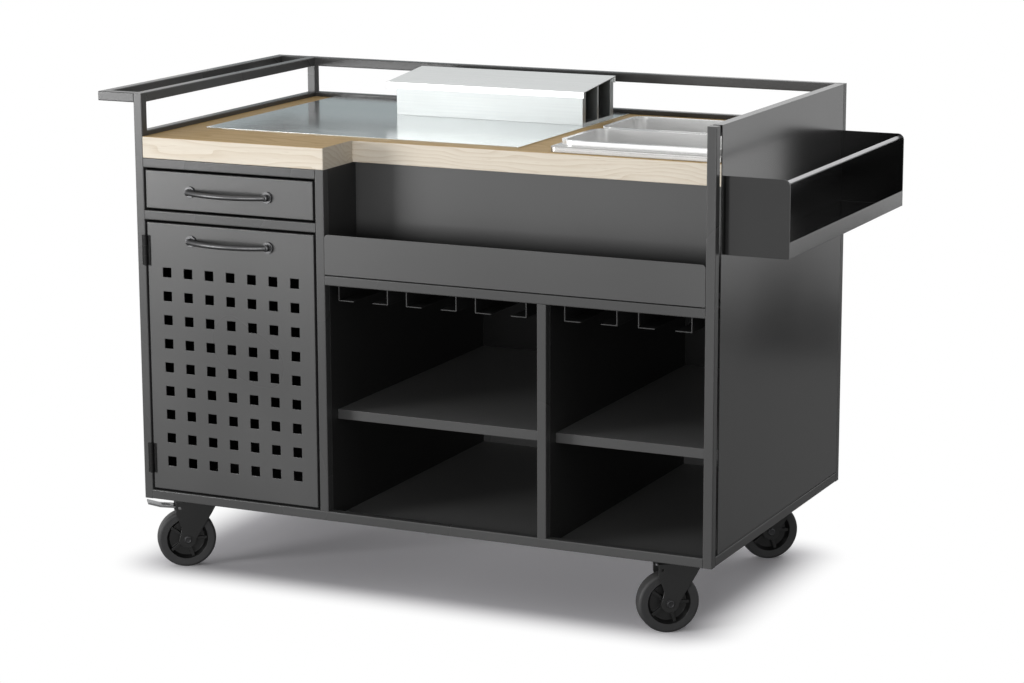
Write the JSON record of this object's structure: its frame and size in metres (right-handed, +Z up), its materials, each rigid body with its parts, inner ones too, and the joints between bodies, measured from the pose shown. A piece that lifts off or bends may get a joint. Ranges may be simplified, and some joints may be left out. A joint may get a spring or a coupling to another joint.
{
  "type": "cocktail bar cart",
  "caption": "Rolling bar cart: tube frame, wood top with steel plate, pans and caddy, bottle trough, drawer, perforated door, open bays, push handle and side rack on swivel casters.",
  "frame": {"origin": "on the floor, under the middle of the whole cart", "axes": "+X along the cart towards the side rack, +Y to the back, +Z up"},
  "size_m": [1.522, 0.8, 1.0314],
  "materials": {
    "frame_paint": "satin powder coat",
    "sheet_paint": "satin powder coat",
    "top_wood": "oiled, straight grain",
    "steel": "fine brushed",
    "handle_metal": "satin",
    "black_metal": "satin black",
    "wheel_rubber": "matt"
  },
  "bodies": {
    "cart": {"back_panel": "sheet_paint", "bay_ceiling": "sheet_paint", "bay_divider": "sheet_paint", "bay_rail": "frame_paint", "bottle_trough": "sheet_paint", "bottom_rail_back": "frame_paint", "bottom_rail_front": "frame_paint", "bottom_rail_left": "frame_paint", "bottom_rail_right": "frame_paint", "cabinet_post": "frame_paint", "cabinet_wall": "sheet_paint", "caster_plates": "black_metal", "corner_post_back_left": "frame_paint", "corner_post_back_right": "frame_paint", "corner_post_front_left": "frame_paint", "corner_post_front_right": "frame_paint", "drawer_bottom_rail": "frame_paint", "drawer_runners": "sheet_paint", "drawer_top_rail": "frame_paint", "floor_panel": "sheet_paint", "guard_rail_back": "frame_paint", "guard_rail_left": "frame_paint", "hinge_frame_leaves": "black_metal", "low_rail_back": "frame_paint", "low_rail_left": "frame_paint", "middle_post": "frame_paint", "pan_surround": "steel", "push_handle": "frame_paint", "rack_bar": "sheet_paint", "rack_body": "sheet_paint", "shelf_left": "sheet_paint", "shelf_right": "sheet_paint", "side_panel_left": "sheet_paint", "side_panel_right": "sheet_paint", "steel_plate": "steel", "stemware_channels": "sheet_paint", "worktop": "top_wood"},
    "drawer": {"drawer_front": "sheet_paint", "drawer_box": "sheet_paint", "drawer_handle": "handle_metal"},
    "door": {"door": "sheet_paint", "door_handle": "handle_metal", "hinge_door_leaves": "black_metal"},
    "pan_front": {"pan_front": "steel"},
    "pan_back": {"pan_back": "steel"},
    "caddy": {"caddy_box": "steel"},
    "caddy_lid": {"caddy_lid": "steel"},
    "caster_front_left": {"caster_fork_front_left": "black_metal", "caster_axle_front_left": "black_metal"},
    "wheel_front_left": {"caster_wheel_front_left": "wheel_rubber"},
    "caster_front_right": {"caster_fork_front_right": "black_metal", "caster_axle_front_right": "black_metal"},
    "wheel_front_right": {"caster_wheel_front_right": "wheel_rubber"},
    "caster_back_left": {"caster_fork_back_left": "black_metal", "caster_axle_back_left": "black_metal"},
    "wheel_back_left": {"caster_wheel_back_left": "wheel_rubber"},
    "caster_back_right": {"caster_fork_back_right": "black_metal", "caster_axle_back_right": "black_metal"},
    "wheel_back_right": {"caster_wheel_back_right": "wheel_rubber"},
    "brake_pedal": {"brake_pedal": "handle_metal"}
  },
  "joints": [
    {"name": "drawer_slide", "type": "slide", "parent": "cart", "child": "drawer", "axis": [0, -1, 0], "range_m": [0, 0.33]},
    {"name": "door_swing", "type": "hinge", "parent": "cart", "child": "door", "pos_m": [-0.6525, -0.364, 0.185], "axis": [0, 0, -1], "range_deg": [0, 110]},
    {"name": "pan_front_lift", "type": "slide", "parent": "cart", "child": "pan_front", "axis": [0, 0, 1], "range_m": [0, 0.15]},
    {"name": "pan_back_lift", "type": "slide", "parent": "cart", "child": "pan_back", "axis": [0, 0, 1], "range_m": [0, 0.15]},
    {"name": "caddy_lift", "type": "slide", "parent": "cart", "child": "caddy", "axis": [0, 0, 1], "range_m": [0, 0.12]},
    {"name": "caddy_lid_slide", "type": "slide", "parent": "caddy", "child": "caddy_lid", "axis": [-1, 0, 0], "range_m": [-0.05, 0.25]},
    {"name": "swivel_front_left", "type": "hinge", "parent": "cart", "child": "caster_front_left", "pos_m": [-0.585, -0.27, 0.1447], "axis": [0, 0, 1], "continuous": true},
    {"name": "roll_front_left", "type": "hinge", "parent": "caster_front_left", "child": "wheel_front_left", "pos_m": [-0.61515, -0.29313, 0.0625], "axis": [-0.6088, 0.7934, 0], "continuous": true},
    {"name": "swivel_front_right", "type": "hinge", "parent": "cart", "child": "caster_front_right", "pos_m": [0.535, -0.27, 0.1447], "axis": [0, 0, 1], "continuous": true},
    {"name": "roll_front_right", "type": "hinge", "parent": "caster_front_right", "child": "wheel_front_right", "pos_m": [0.50485, -0.29313, 0.0625], "axis": [-0.6088, 0.7934, 0], "continuous": true},
    {"name": "swivel_back_left", "type": "hinge", "parent": "cart", "child": "caster_back_left", "pos_m": [-0.585, 0.31, 0.1447], "axis": [0, 0, 1], "continuous": true},
    {"name": "roll_back_left", "type": "hinge", "parent": "caster_back_left", "child": "wheel_back_left", "pos_m": [-0.61515, 0.28687, 0.0625], "axis": [-0.6088, 0.7934, 0], "continuous": true},
    {"name": "swivel_back_right", "type": "hinge", "parent": "cart", "child": "caster_back_right", "pos_m": [0.535, 0.31, 0.1447], "axis": [0, 0, 1], "continuous": true},
    {"name": "roll_back_right", "type": "hinge", "parent": "caster_back_right", "child": "wheel_back_right", "pos_m": [0.50485, 0.28687, 0.0625], "axis": [-0.6088, 0.7934, 0], "continuous": true},
    {"name": "brake_press", "type": "hinge", "parent": "caster_front_left", "child": "brake_pedal", "pos_m": [-0.62784, -0.30287, 0.133], "axis": [0.6088, -0.7934, 0], "range_deg": [0, 12]}
  ]
}
